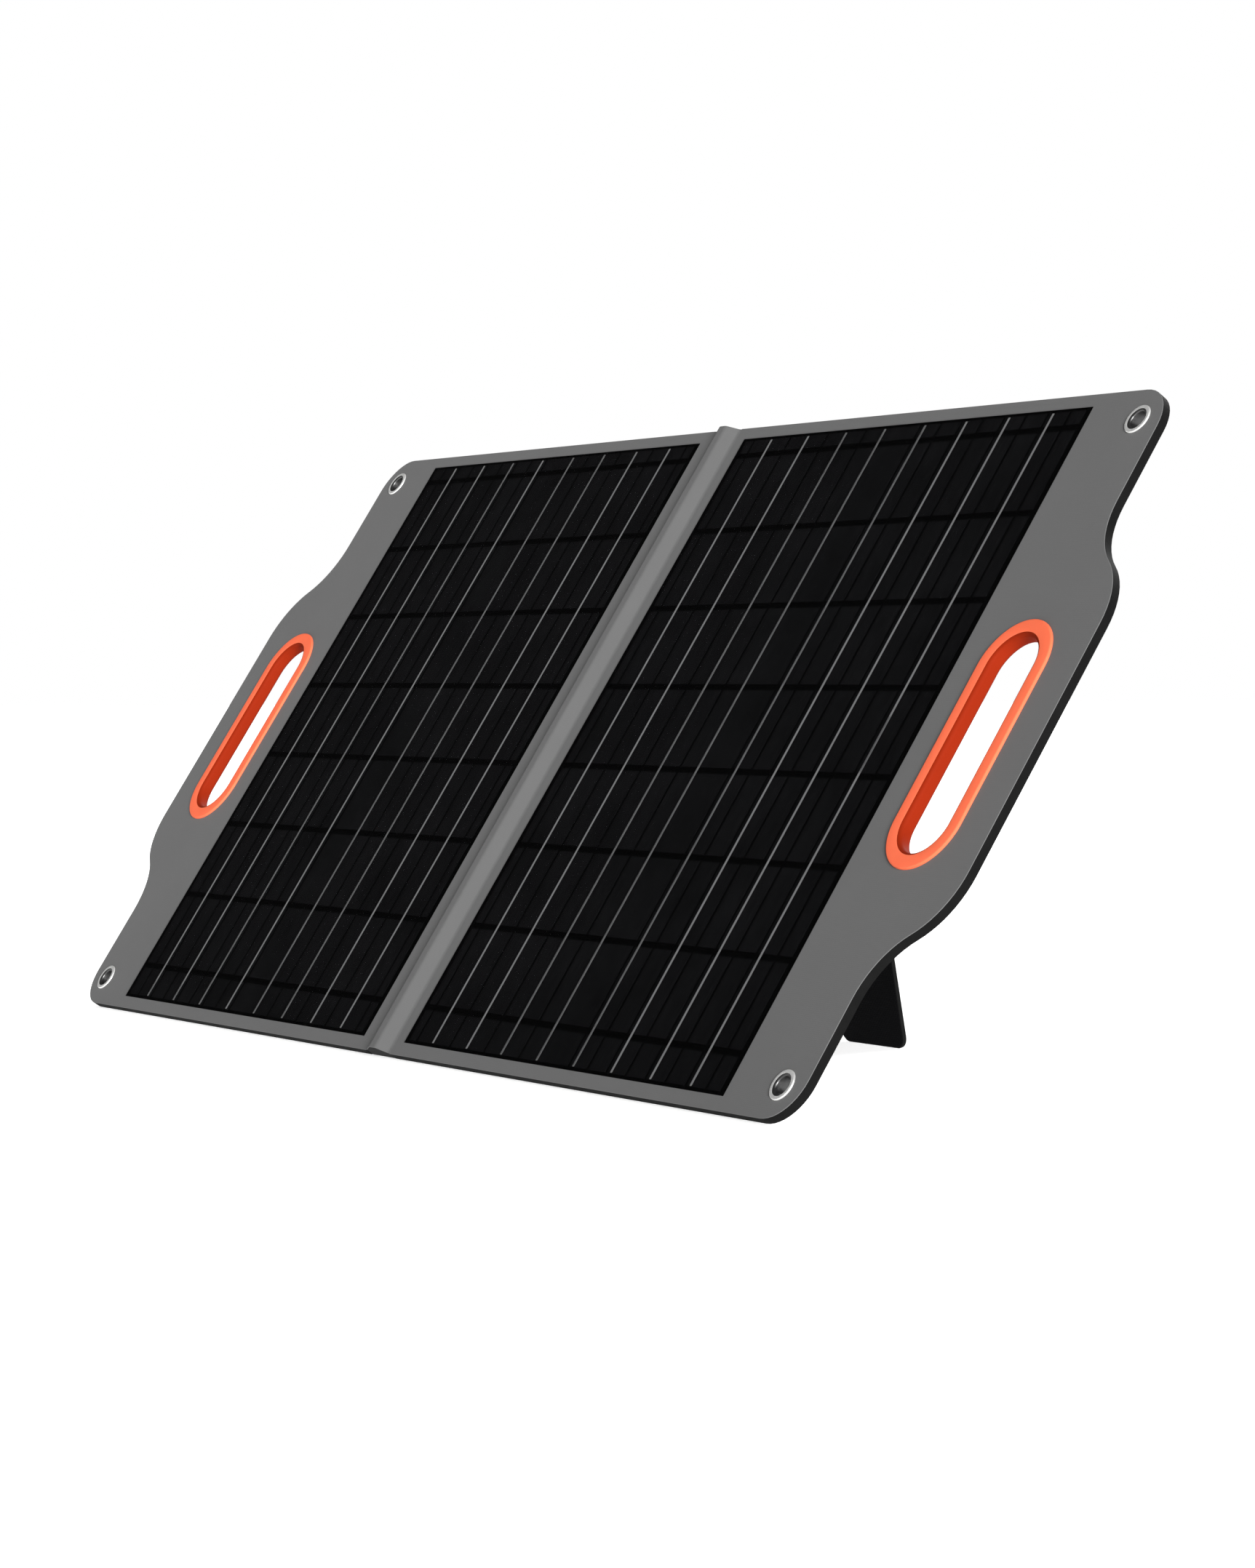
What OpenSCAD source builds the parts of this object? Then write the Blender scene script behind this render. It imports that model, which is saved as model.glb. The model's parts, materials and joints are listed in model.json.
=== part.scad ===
// Two-fold portable solar panel standing open on its two rear kickstands.
// Millimetres, +Z up, X along the panel, front towards -Y, origin under the middle of the object.

/* [Cell fields] */
// Width of the cell field of one half
cell_w = 420; // [300:5:520]
// Height of the cell field
cell_h = 522.5; // [420:0.5:640]
// Bare strip between the two cell fields
field_gap = 62; // [50:1:90]
// Border above and below the cell field
border = 10.5; // [8:0.5:20]
// Bare backsheet beside the cells
side_frame = 5.5; // [2:0.5:8]
// Bare backsheet above and below the cells
end_frame = 2.5; // [1:0.5:6]
// From the inner edge of the field to the first cut between cells
inner_cut = 16.3; // [12:0.1:24]
// From the outer edge of the field to the last cut between cells
outer_cut = 21.5; // [12:0.1:24]
// Height of one full row of cells
row_h = 68.1; // [50:0.1:90]
// Height of the cut row at the bottom
bottom_row_h = 29.8; // [14:0.1:60]
// Gap between neighbouring columns of cells
column_gap = 3; // [0.6:0.1:4]
// Gap between neighbouring rows of cells
row_gap = 5; // [1:0.1:6]
// Number of ribbons
ribbon_count = 8; // [4:2:10]
// From the edge of the field to the first and last ribbon
ribbon_inset = 40; // [30:0.5:45]
// Width of a tinned ribbon
ribbon_w = 2; // [1:0.1:3]
// Distance from a ribbon's end to the edge of the cell field
ribbon_end = 3; // [1:0.5:8]

/* [Outline] */
// From the cell field to the narrow part of the side edge
side_margin = 79; // [75:1:110]
// How far the handle bulge stands out of the side edge
bulge_out = 49; // [30:0.5:70]
// Height of the double curve that leads into the bulge
shoulder_h = 94; // [60:1:120]
// From mid height to the middle of the double curve
shoulder_mid = 137; // [130:1:165]
// Radius of the outer corners
corner_r = 30; // [18:1:45]

/* [Layers] */
// Thickness of the front fabric
front_cover_t = 0.6; // [0.4:0.1:1]
// Thickness of the stiff foam board
board_t = 6.4; // [3:0.1:9]
// Thickness of the back fabric
back_cover_t = 0.5; // [0.3:0.1:1]
// How far the back fabric stops short of the edge
back_inset = 2; // [1:0.5:4]
// Thickness of the sheet behind the cells
backsheet_t = 0.3; // [0.2:0.1:0.6]
// Thickness of a cell
cell_t = 0.2; // [0.1:0.1:0.4]
// Thickness of a ribbon
ribbon_t = 0.15; // [0.1:0.05:0.2]
// Thickness of the clear front film
film_t = 0.25; // [0.2:0.05:0.6]

/* [Handles] */
// From the cell field to the middle of the handle
grip_offset = 61; // [50:1:70]
// Width of the hand opening
slot_w = 45; // [34:1:52]
// Length of the hand opening
slot_l = 161; // [110:1:180]
// Width of the moulded rim
rim_w = 12.5; // [8:0.5:15]
// Height of the rim above the fabric
rim_h = 1.8; // [1.5:0.1:4]
// Wall of the sleeve through the board
sleeve_t = 2.5; // [1.5:0.1:4]

/* [Eyelets] */
// From the cell field to the middle of an eyelet
eyelet_offset = 55.5; // [45:0.5:60]
// From the top or bottom edge to the middle of an eyelet
eyelet_edge = 24; // [18:0.5:32]
// Radius of the hole through an eyelet
eyelet_r = 6.5; // [4:0.5:8]
// Wall of the eyelet's barrel
eyelet_wall = 0.8; // [0.5:0.1:1.2]
// Radius of the eyelet's rim
eyelet_rim_r = 10.9; // [9.5:0.1:12]
// Thickness of the washer behind the board
washer_t = 1; // [0.6:0.1:1.5]

/* [Spine] */
// Width of the soft spine between the boards
spine_w = 36; // [30:1:44]
// Height of the spine's padded ridge
ridge_h = 6; // [3:0.5:8]
// How far the spine stops short of the top and bottom edge
spine_inset = 0.5; // [0.2:0.1:3]

/* [Stands] */
// Angle by which the panel leans back from upright
lean = 33.35; // [20:0.05:45]
// Angle between a stand and the panel's back when open
stand_angle = 43.8; // [38:0.1:60]
// From the top edge of the panel down to a stand's fold line
stand_drop = 46.5; // [30:0.5:120]
// Width of a stand
stand_w = 80; // [50:1:120]
// From the panel's middle to the middle of a stand
stand_x = 108; // [80:1:200]
// Thickness of the stand's board
stand_board_t = 3; // [2:0.1:5]
// Thickness of the fabric on a stand
stand_cover_t = 0.5; // [0.3:0.1:1]
// How far the fabric stops short of the stand's edges
stand_inset = 1; // [0.5:0.5:3]
// Corner radius at the foot of a stand
foot_r = 9; // [3:1:20]
// Height of the sewn tape that carries a stand
tape_h = 24; // [15:1:30]
// From the fold line to the stay strap
strap_reach = 270; // [180:1:330]
// Width of the stay strap
strap_w = 20; // [12:1:30]
// Thickness of the stay strap
strap_t = 1.2; // [0.8:0.1:2]

/* [Controller] */
// Size of the controller box along the panel
box_w = 120; // [100:1:150]
// Height of the controller box
box_h = 72; // [60:1:90]
// Depth of the box's base
base_t = 6; // [5:0.5:10]
// Depth of the box's lid
lid_t = 15; // [13:0.5:20]
// Corner radius of the box
box_r = 8; // [6.5:0.5:12]
// Wall of the lid
lid_wall = 2; // [1.5:0.1:3]
// From the panel's middle to the middle of the box
box_x = 320; // [250:1:360]
// Height of the middle of the box, along the panel
box_s = 150; // [120:1:240]
// Radius of the hole in the round outlet
outlet_r = 4; // [3:0.5:5]
// Depth of the hole in the round outlet
outlet_depth = 10; // [8:0.5:12]
// Length of the round outlet outside the box
outlet_l = 12; // [11:0.5:14]
// Radius of a lid screw's shank
screw_r = 1.5; // [1:0.1:2]

/* [Inside] */
// Radius of a closing magnet
magnet_r = 5; // [3:0.5:6]
// Thickness of a magnet
magnet_t = 2; // [1:0.1:2.2]
// From mid height to a closing magnet
magnet_dy = 60; // [40:1:75]
// Width of the flat two-core lead
lead_w = 8; // [5:0.5:12]
// Thickness of the flat lead
lead_t = 1; // [0.6:0.1:1.2]
// Height of the lead, along the panel
lead_s = 300; // [280:1:340]

/* [Clearances] */
// Gap between the spine and the half that folds
fold_gap = 0.3; // [0.2:0.1:1]
// Gap between parts that swing past each other
swing_gap = 0.3; // [0.2:0.1:1]
// Gap round a part that is pushed into a pocket or hole
fit_gap = 0.1; // [0.05:0.05:0.3]

/* [Hidden] */
$fn = 96;

LEFT = -1;
RIGHT = 1;
panel_h = cell_h + 2 * border;
stand_hinge_h = panel_h - stand_drop;
field_x = field_gap / 2;
side_x = field_x + cell_w + side_margin;
bulge_x = side_x + bulge_out;
shoulder_r = (pow(bulge_out, 2) + pow(shoulder_h, 2)) / (4 * bulge_out);
board_back = front_cover_t + board_t;
panel_back = board_back + back_cover_t;
cells_n = backsheet_t;
ribbons_n = cells_n + cell_t;
film_n = ribbons_n + ribbon_t;
grip_x = field_x + cell_w + grip_offset;
eyelet_x = field_x + cell_w + eyelet_offset;
eyelet_hole_r = eyelet_r + eyelet_wall + fit_gap;
magnet_x = (grip_x + slot_w / 2 + rim_w + bulge_x) / 2;
ribbon_pitch = (cell_w - 2 * ribbon_inset) / (ribbon_count - 1);
stand_t = stand_board_t + 2 * stand_cover_t;
strap_room = strap_t + 2 * swing_gap;
hinge_n = -(panel_back + strap_room + stand_t / 2);
floor_lift = board_back * sin(lean);
hinge_y = stand_hinge_h * sin(lean) - hinge_n * cos(lean);
hinge_z = stand_hinge_h * cos(lean) + hinge_n * sin(lean) + floor_lift;
stand_tilt = stand_angle - lean;
stand_l = (hinge_z - stand_board_t / 2 * sin(stand_tilt)) / cos(stand_tilt);
front_y = spine_inset * sin(lean) - ridge_h * cos(lean);
foot_y = (stand_l - stand_inset) * sin(stand_tilt) + stand_t / 2 * cos(stand_tilt);
middle_y = (front_y + hinge_y + foot_y) / 2;
box_back = panel_back + base_t + lid_t;
socket_gap = 22;
socket_w = 13.2;
socket_h = 5.8;
socket_depth = 14;
socket_x = -24;
socket_n = panel_back + base_t + lid_t / 2;
outlet_x = 34;
port_cover_t = 2.5;
port_cover_h = 11;
port_hinge_n = socket_n + port_cover_h / 2 + 1.5;
gasket_t = 0.8;
circuit_t = 1.6;
socket_wall = 0.4;
outlet_wall = 2.5;
lens_r = 2;
lens_proud = 0.4;

// --- frames ---

// Puts what is drawn flat (X along, Y up the panel, Z towards the front) where the leaning panel is
module on_panel() {
    translate([0, -middle_y, floor_lift]) rotate([90 - lean, 0, 0]) children();
}

// Draws one half: the parts are drawn for the right half and mirrored for the left one
module on_half(side) {
    on_panel() mirror([side == LEFT ? 1 : 0, 0, 0]) children();
}

// Puts what hangs from a fold line (along -Y, thickness about Z = 0) where the open stand is
module on_stand(side) {
    on_half(side) translate([stand_x, stand_hinge_h, hinge_n]) rotate([stand_angle, 0, 0]) children();
}

// Extrudes a flat shape between two levels counted from the front fabric
module slab(low, high) {
    translate([0, 0, low]) linear_extrude(height = high - low) children();
}

// --- flat shapes ---

// Stadium that stands upright
module stadium(w, l) {
    square([w, l - w], center = true);
    for (end = [-1, 1]) translate([0, end * (l - w) / 2]) circle(d = w);
}

module rounded_rect(w, h, r) {
    square([w - 2 * r, h], center = true);
    square([w, h - 2 * r], center = true);
    for (sx = [-1, 1], sy = [-1, 1]) translate([sx * (w / 2 - r), sy * (h / 2 - r)]) circle(r);
}

// One shoulder of the handle bulge: a convex arc that runs into a concave one
module shoulder(inset) {
    upper = [side_x + shoulder_r, shoulder_mid + shoulder_h / 2];
    lower = [bulge_x - shoulder_r, shoulder_mid - shoulder_h / 2];
    translate(lower) circle(shoulder_r - inset);
    difference() {
        polygon([lower, upper, [lower.x, upper.y]]);
        translate(upper) circle(shoulder_r + inset);
    }
}

// Outline of one half, kept a distance inside its real edge
module half_outline(inset, inner_x) {
    r = corner_r - inset;
    edge_x = side_x - inset;
    tall = panel_h - 2 * inset;
    bulge_half_h = shoulder_mid - shoulder_h / 2;
    translate([inner_x, inset]) square([edge_x - r - inner_x, tall]);
    translate([inner_x, inset + r]) square([edge_x - inner_x, tall - 2 * r]);
    for (y = [inset + r, panel_h - inset - r]) translate([edge_x - r, y]) circle(r);
    translate([0, panel_h / 2]) {
        translate([inner_x, -bulge_half_h]) square([bulge_x - inset - inner_x, 2 * bulge_half_h]);
        shoulder(inset);
        mirror([0, 1]) shoulder(inset);
    }
}

function inner_edge(side) = spine_w / 2 + (side == RIGHT ? fold_gap : 0);

module at_eyelets() {
    for (y = [eyelet_edge, panel_h - eyelet_edge]) translate([eyelet_x, y]) children();
}

module at_magnets() {
    for (end = [-1, 1]) translate([magnet_x, panel_h / 2 + end * magnet_dy]) children();
}

module at_grip() {
    translate([grip_x, panel_h / 2]) children();
}

// Outline with the holes for the handle and the eyelets
module pierced_outline(inset, side) {
    difference() {
        half_outline(inset, inner_edge(side));
        at_grip() stadium(slot_w + 2 * (sleeve_t + fit_gap), slot_l + 2 * (sleeve_t + fit_gap));
        at_eyelets() circle(eyelet_hole_r);
    }
}

// --- panel halves ---

module front_cover(side) {
    color([0.42, 0.42, 0.42]) on_half(side) slab(-front_cover_t, 0) pierced_outline(0, side);
}

module core_board(side) {
    lead_end = side == LEFT ? box_x : field_x + 2 * lead_w;
    groove_t = lead_t + fit_gap;
    color([0.08, 0.08, 0.08]) on_half(side) difference() {
        slab(-board_back, -front_cover_t) pierced_outline(0, side);
        slab(-front_cover_t - magnet_t - fit_gap, 1) at_magnets() circle(magnet_r + fit_gap);
        translate([0, lead_s - lead_w / 2 - fit_gap, -board_back - 1])
            cube([lead_end + fit_gap, lead_w + 2 * fit_gap, groove_t + 1]);
    }
}

module back_cover(side) {
    color([0.12, 0.12, 0.13]) on_half(side) difference() {
        slab(-panel_back, -board_back) pierced_outline(back_inset, side);
        if (side == LEFT) at_lead_hole() cylinder(r = lead_w / 2, h = 4 * base_t, center = true);
    }
}

module field_rect(inset) {
    translate([field_x + inset, border + inset]) square([cell_w - 2 * inset, cell_h - 2 * inset]);
}

module backsheet(side) {
    color([0.02, 0.02, 0.02]) on_half(side) slab(0, backsheet_t) field_rect(0);
}

// Cuts between columns: one per ribbon in the inner part of the field and two per ribbon in the outer
inner_cuts = [for (i = [0:ribbon_count / 2 - 1]) inner_cut + i * ribbon_pitch];
outer_cuts = [for (i = [ribbon_count - 1:-1:0]) cell_w - outer_cut - i * ribbon_pitch / 2];
cut_rows = floor((cell_h - bottom_row_h) / row_h);
row_cuts = [for (i = [0:cut_rows]) bottom_row_h + i * row_h];

// Lowest and highest place of each strip between cuts, inside a frame
function strips(cuts, whole, frame, gap) = [for (i = [0:len(cuts)]) [
    i == 0 ? frame : cuts[i - 1] + gap / 2,
    i == len(cuts) ? whole - frame : cuts[i] - gap / 2
]];

module cells(side) {
    color([0.05, 0.05, 0.06]) on_half(side) translate([field_x, border, cells_n])
        for (column = strips(concat(inner_cuts, outer_cuts), cell_w, side_frame, column_gap))
            for (row = strips(row_cuts, cell_h, end_frame, row_gap))
                if (row[1] - row[0] > row_gap) translate([column[0], row[0], 0])
                    cube([column[1] - column[0], row[1] - row[0], cell_t]);
}

module ribbons(side) {
    color([0.75, 0.75, 0.75]) on_half(side) translate([field_x, border + ribbon_end, ribbons_n])
        for (i = [0:ribbon_count - 1]) translate([ribbon_inset + i * ribbon_pitch - ribbon_w / 2, 0, 0])
            cube([ribbon_w, cell_h - 2 * ribbon_end, ribbon_t]);
}

module front_film(side) {
    color([0.7, 0.7, 0.75, 0.3]) on_half(side) slab(film_n, film_n + film_t) field_rect(0);
}

// --- handles ---

// Sweeps a profile (distance outwards, height) along an upright stadium
module along_stadium(straight) {
    for (turn = [0, 180]) rotate([0, 0, turn]) {
        translate([0, straight / 2, 0]) rotate_extrude(angle = 180) children();
        rotate([90, 0, 0]) linear_extrude(height = straight, center = true) children();
    }
}

// Half of the handle: a rounded rim on the fabric and half of the sleeve through the board
module grip_half(depth) {
    inner_r = slot_w / 2;
    edge_r = rim_h * 0.8;
    color([0.95, 0.33, 0.2]) along_stadium(slot_l - slot_w) {
        translate([inner_r, 0]) square([rim_w, rim_h - edge_r]);
        translate([inner_r + edge_r, 0]) square([rim_w - 2 * edge_r, rim_h]);
        for (x = [inner_r + edge_r, inner_r + rim_w - edge_r]) intersection() {
            translate([x, rim_h - edge_r]) circle(edge_r);
            translate([inner_r, 0]) square([rim_w, rim_h]);
        }
        translate([inner_r, -depth]) square([sleeve_t, depth]);
    }
}

module grip_front(side) {
    on_half(side) at_grip() grip_half(panel_back / 2);
}

module grip_back(side) {
    on_half(side) at_grip() translate([0, 0, -panel_back]) mirror([0, 0, 1]) grip_half(panel_back / 2);
}

// --- eyelets ---

// Height of the eyelet's domed rim and the circle that makes it
dome_h = 1.1;
dome_half_w = (eyelet_rim_r - eyelet_r - eyelet_wall / 2) / 2;
dome_r = (pow(dome_half_w, 2) + pow(dome_h, 2)) / (2 * dome_h);
lip_t = 0.55;

module eyelets(side) {
    barrel_low = -(panel_back + washer_t + lip_t);
    color([0.85, 0.85, 0.85]) on_half(side) at_eyelets() rotate_extrude() {
        translate([eyelet_r, barrel_low]) square([eyelet_wall, dome_h * 0.4 - barrel_low]);
        translate([eyelet_r, barrel_low]) square([2 * eyelet_wall, lip_t]);
        intersection() {
            translate([eyelet_rim_r - dome_half_w, dome_h - dome_r]) circle(dome_r);
            translate([eyelet_r, 0]) square([eyelet_rim_r, dome_h]);
        }
    }
}

module eyelet_washers(side) {
    color([0.8, 0.8, 0.8]) on_half(side) slab(-panel_back - washer_t, -panel_back) at_eyelets() difference() {
        circle(eyelet_rim_r);
        circle(eyelet_hole_r);
    }
}

// --- what is sealed inside ---

module closing_magnets(side) {
    color("dimgray") on_half(side)
        slab(-front_cover_t - magnet_t, -front_cover_t) at_magnets() circle(magnet_r);
}

module at_lead_hole() {
    translate([box_x, box_s + box_h / 4, -panel_back]) children();
}

module flat_lead(from_x, to_x) {
    color("dimgray") translate([from_x, lead_s - lead_w / 2, -board_back]) cube([to_x - from_x, lead_w, lead_t]);
}

module left_lead() {
    on_half(LEFT) flat_lead(spine_w / 2, box_x);
}

module right_lead() {
    on_half(RIGHT) flat_lead(inner_edge(RIGHT), field_x + 2 * lead_w);
}

module spine_lead() {
    on_panel() flat_lead(-spine_w / 2, spine_w / 2);
}

// --- spine ---

ridge_r = (pow(spine_w / 2, 2) + pow(ridge_h, 2)) / (2 * ridge_h);

// Cross-section of the padded ridge, with Y towards the front
module ridge_section(r) {
    intersection() {
        translate([0, ridge_h - ridge_r]) circle(r);
        translate([-spine_w, 0]) square([2 * spine_w, spine_w]);
    }
}

module along_spine() {
    on_panel() translate([0, panel_h - spine_inset, 0]) rotate([90, 0, 0])
        linear_extrude(height = panel_h - 2 * spine_inset) children();
}

module spine_ridge() {
    color([0.5, 0.5, 0.5]) along_spine() difference() {
        ridge_section(ridge_r);
        ridge_section(ridge_r - front_cover_t);
    }
}

module spine_padding() {
    color([0.2, 0.2, 0.2]) difference() {
        along_spine() {
            ridge_section(ridge_r - front_cover_t);
            translate([-spine_w / 2, -board_back]) square([spine_w, board_back]);
        }
        on_panel() translate([-spine_w, lead_s - lead_w / 2 - fit_gap, -board_back - 1])
            cube([2 * spine_w, lead_w + 2 * fit_gap, lead_t + fit_gap + 1]);
    }
}

module spine_back() {
    color([0.12, 0.12, 0.13]) on_panel() translate([-spine_w / 2, back_inset, -panel_back])
        cube([spine_w, panel_h - 2 * back_inset, back_cover_t]);
}

// --- stands ---

// Outline of a stand that hangs from Y = 0, with two rounded corners at its foot
module stand_outline(inset, top) {
    w = stand_w - 2 * inset;
    r = foot_r - inset;
    foot = -stand_l + inset;
    translate([-w / 2, foot + r]) square([w, stand_l - inset - r - top]);
    translate([-w / 2 + r, foot]) square([w - 2 * r, r]);
    for (end = [-1, 1]) translate([end * (w / 2 - r), foot + r]) circle(r);
}

stand_top = stand_t;
stand_magnet_y = -stand_l + 3 * foot_r;

module stand_board(side) {
    color([0.07, 0.07, 0.07]) on_stand(side) difference() {
        slab(-stand_board_t / 2, stand_board_t / 2) stand_outline(0, stand_top);
        translate([0, stand_magnet_y, stand_board_t / 2 - magnet_t - fit_gap])
            cylinder(r = magnet_r + fit_gap, h = magnet_t + 1);
    }
}

module stand_cover(side) {
    color([0.12, 0.12, 0.13]) on_stand(side)
        slab(-stand_t / 2, -stand_board_t / 2) stand_outline(stand_inset, stand_top);
}

module stand_lining(side) {
    color([0.12, 0.12, 0.13]) on_stand(side)
        slab(stand_board_t / 2, stand_t / 2) stand_outline(stand_inset, stand_top);
}

module stand_magnet(side) {
    color("dimgray") on_stand(side) translate([0, stand_magnet_y, stand_board_t / 2 - magnet_t])
        cylinder(r = magnet_r, h = magnet_t);
}

module stand_tape(side) {
    color([0.15, 0.15, 0.15]) on_half(side) translate([stand_x - stand_w / 2, stand_hinge_h, -panel_back - strap_t])
        cube([stand_w, tape_h, strap_t]);
}

// Taut strap from the panel's back to the stand's inner face, square to the line that halves the angle
module stay_strap(side) {
    chord = 2 * strap_reach * sin(stand_angle / 2);
    play = stand_t / 2 + strap_room;
    color([0.15, 0.15, 0.15]) on_half(side) translate([stand_x, stand_hinge_h, hinge_n])
        rotate([stand_angle / 2, 0, 0])
            translate([-strap_w / 2, -strap_reach * cos(stand_angle / 2), -chord / 2 + play])
                cube([strap_w, strap_t, chord - 2 * play]);
}

// --- controller on the back of the left half ---

module on_controller() {
    on_half(LEFT) translate([box_x, box_s, 0]) children();
}

module at_screws() {
    for (sx = [-1, 1], sy = [-1, 1])
        translate([sx * (box_w / 2 - box_r + 1), sy * (box_h / 2 - box_r + 1)]) children();
}

lid_low = -(panel_back + base_t);

// The room inside the box, clear of the four screw posts
module box_room() {
    difference() {
        rounded_rect(box_w - 4 * lid_wall, box_h - 4 * lid_wall, box_r - 2 * lid_wall);
        at_screws() circle(box_r / 2 + screw_r);
    }
}

module controller_base() {
    color([0.1, 0.1, 0.1]) on_controller() difference() {
        slab(lid_low, -panel_back) rounded_rect(box_w, box_h, box_r);
        slab(lid_low - 1, lid_low + base_t / 2) box_room();
        slab(lid_low - 1, lid_low + base_t - lid_wall) at_screws() circle(screw_r);
        translate([0, box_h / 4, -panel_back]) cylinder(r = lead_w / 2 - fit_gap, h = 4 * base_t, center = true);
    }
}

module controller_gasket() {
    color([0.05, 0.05, 0.05]) on_controller() slab(lid_low - gasket_t, lid_low) difference() {
        rounded_rect(box_w - 2 * lid_wall, box_h - 2 * lid_wall, box_r - lid_wall);
        box_room();
        at_screws() circle(screw_r + fit_gap);
    }
}

module at_sockets() {
    for (i = [0, 1]) translate([socket_x + i * socket_gap, -box_h / 2, -socket_n]) children();
}

module controller_lid() {
    inside_low = -(box_back - lid_wall);
    color([0.1, 0.1, 0.1]) on_controller() difference() {
        slab(-box_back, lid_low) rounded_rect(box_w, box_h, box_r);
        slab(inside_low, lid_low + 1) box_room();
        slab(lid_low - gasket_t, lid_low + 1)
            rounded_rect(box_w - 2 * lid_wall, box_h - 2 * lid_wall, box_r - lid_wall);
        slab(-box_back - 1, lid_low + 1) at_screws() circle(screw_r + fit_gap);
        slab(-box_back - 1, -box_back + screw_r) at_screws() circle(2 * screw_r + fit_gap);
        at_sockets() cube([socket_w + 2 * fit_gap, 6 * lid_wall, socket_h + 2 * fit_gap], center = true);
        at_outlet() cylinder(r = outlet_r + outlet_wall + fit_gap, h = 6 * lid_wall, center = true);
        at_lens() cylinder(r = lens_r + fit_gap, h = 4 * lid_wall, center = true);
    }
}

module controller_board() {
    w = box_w - 8 * lid_wall - 2 * box_r;
    h = box_h - 12 * lid_wall;
    color([0.05, 0.3, 0.15]) on_controller() translate([0, 2 * lid_wall, 0])
        slab(lid_low, lid_low + circuit_t) difference() {
            square([w, h], center = true);
            translate([0, box_h / 4 - 2 * lid_wall]) circle(lead_w / 2);
        }
}

module usb_sockets() {
    inner_w = socket_w - 2 * socket_wall;
    inner_h = socket_h - 2 * socket_wall;
    color([0.7, 0.7, 0.7]) on_controller() at_sockets() difference() {
        translate([-socket_w / 2, 0, -socket_h / 2]) cube([socket_w, socket_depth, socket_h]);
        translate([-inner_w / 2, -1, -inner_h / 2]) cube([inner_w, socket_depth, inner_h]);
    }
}

module at_outlet() {
    translate([outlet_x, -box_h / 2, -socket_n]) rotate([90, 0, 0]) children();
}

module dc_outlet() {
    color([0.06, 0.06, 0.06]) on_controller() at_outlet() difference() {
        translate([0, 0, -3 * lid_wall]) cylinder(r = outlet_r + outlet_wall, h = outlet_l + 3 * lid_wall);
        translate([0, 0, outlet_l - outlet_depth]) cylinder(r = outlet_r, h = outlet_depth + 1);
    }
}

module at_lens() {
    translate([box_w / 4, box_h / 6, -box_back]) children();
}

module status_lens() {
    color([0.2, 0.8, 0.3]) on_controller() at_lens() translate([0, 0, -lens_proud])
        cylinder(r = lens_r, h = lid_wall + lens_proud);
}

module controller_screws() {
    color("silver") on_controller() at_screws() {
        slab(-box_back, -box_back + screw_r) difference() {
            circle(2 * screw_r);
            circle(screw_r * 0.7, $fn = 6);
        }
        slab(-box_back + screw_r, lid_low + base_t / 2) circle(screw_r - fit_gap);
    }
}

// Rubber flap under the two sockets; it swings about its outer long edge
module port_cover() {
    w = socket_gap + socket_w + 6;
    color([0.08, 0.08, 0.08]) on_controller()
        translate([socket_x + socket_gap / 2 - w / 2, -box_h / 2 - swing_gap - port_cover_t, -port_hinge_n])
            cube([w, port_cover_t, port_cover_h + 2]);
}

front_cover(LEFT);  // left_front_cover
core_board(LEFT);  // left_core_board
back_cover(LEFT);  // left_back_cover
backsheet(LEFT);  // left_backsheet
cells(LEFT);  // left_cells
ribbons(LEFT);  // left_ribbons
front_film(LEFT);  // left_front_film
grip_front(LEFT);  // left_grip_front
grip_back(LEFT);  // left_grip_back
eyelets(LEFT);  // left_eyelets
eyelet_washers(LEFT);  // left_eyelet_washers
closing_magnets(LEFT);  // left_closing_magnets
stand_board(LEFT);  // left_stand_board
stand_cover(LEFT);  // left_stand_cover
stand_lining(LEFT);  // left_stand_lining
stand_magnet(LEFT);  // left_stand_magnet
stand_tape(LEFT);  // left_stand_tape
stay_strap(LEFT);  // left_stay_strap
front_cover(RIGHT);  // right_front_cover
core_board(RIGHT);  // right_core_board
back_cover(RIGHT);  // right_back_cover
backsheet(RIGHT);  // right_backsheet
cells(RIGHT);  // right_cells
ribbons(RIGHT);  // right_ribbons
front_film(RIGHT);  // right_front_film
grip_front(RIGHT);  // right_grip_front
grip_back(RIGHT);  // right_grip_back
eyelets(RIGHT);  // right_eyelets
eyelet_washers(RIGHT);  // right_eyelet_washers
closing_magnets(RIGHT);  // right_closing_magnets
stand_board(RIGHT);  // right_stand_board
stand_cover(RIGHT);  // right_stand_cover
stand_lining(RIGHT);  // right_stand_lining
stand_magnet(RIGHT);  // right_stand_magnet
stand_tape(RIGHT);  // right_stand_tape
stay_strap(RIGHT);  // right_stay_strap
spine_ridge();
spine_padding();
spine_back();
left_lead();
right_lead();
spine_lead();
controller_base();
controller_lid();
controller_gasket();
controller_board();
usb_sockets();
dc_outlet();
status_lens();
controller_screws();
port_cover();
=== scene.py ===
"""A two-fold solar panel, open on its two stands: the looks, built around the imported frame."""
import json
import math

import bmesh
import bpy
from mathutils import Matrix, Vector

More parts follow.
